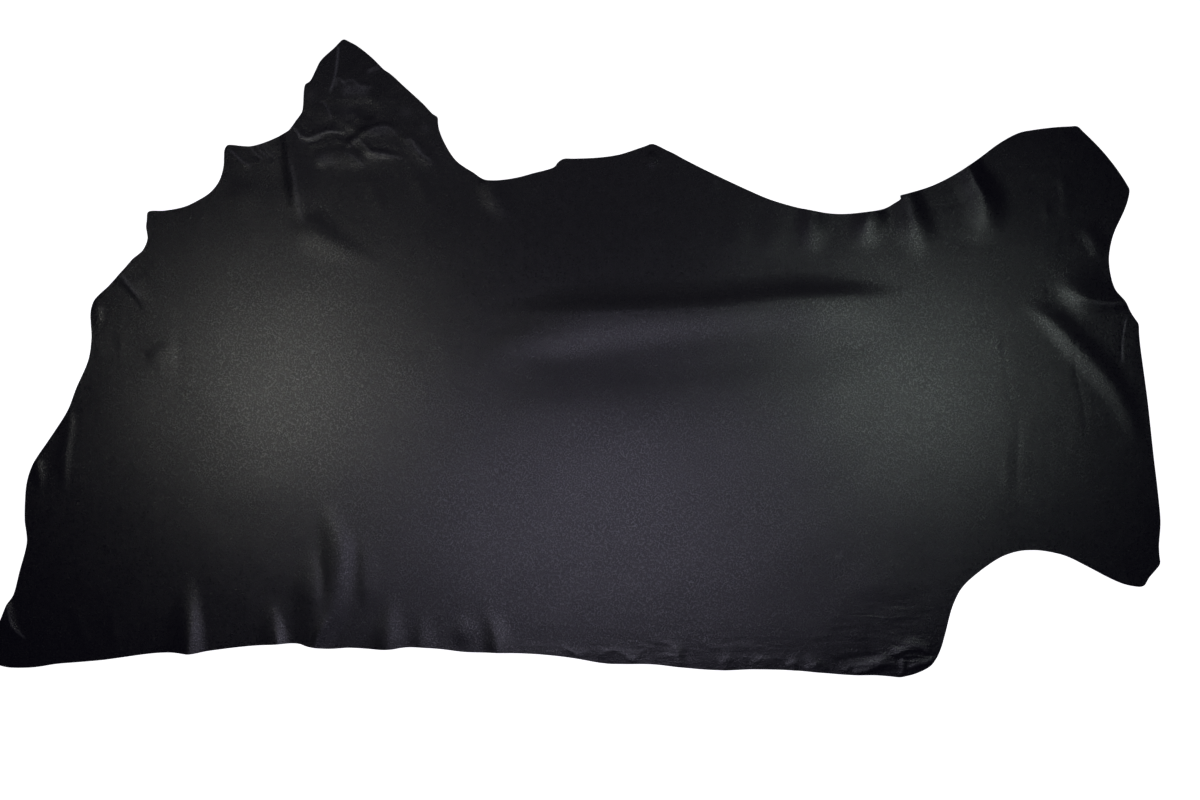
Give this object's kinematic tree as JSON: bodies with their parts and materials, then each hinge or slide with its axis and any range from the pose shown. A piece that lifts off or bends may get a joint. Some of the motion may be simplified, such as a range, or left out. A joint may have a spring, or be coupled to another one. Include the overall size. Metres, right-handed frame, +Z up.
{
  "type": "leather hide",
  "caption": "Black side of cattle leather laid flat grain side up, with its natural ragged outline, edge ruffles and soft folds.",
  "frame": {"origin": "on the surface that the hide lies on, under the middle of the hide's bounding box", "axes": "+X along the backbone from the butt to the neck, +Y from the backbone to the belly, +Z up, out of the grain side"},
  "size_m": [2.344, 1.272, 0.0104],
  "materials": {
    "leather": "semi-matt black grain side over a grey-black suede flesh side, soft chrome-tanned"
  },
  "bodies": {
    "root": {"hide": "leather"}
  },
  "joints": []
}
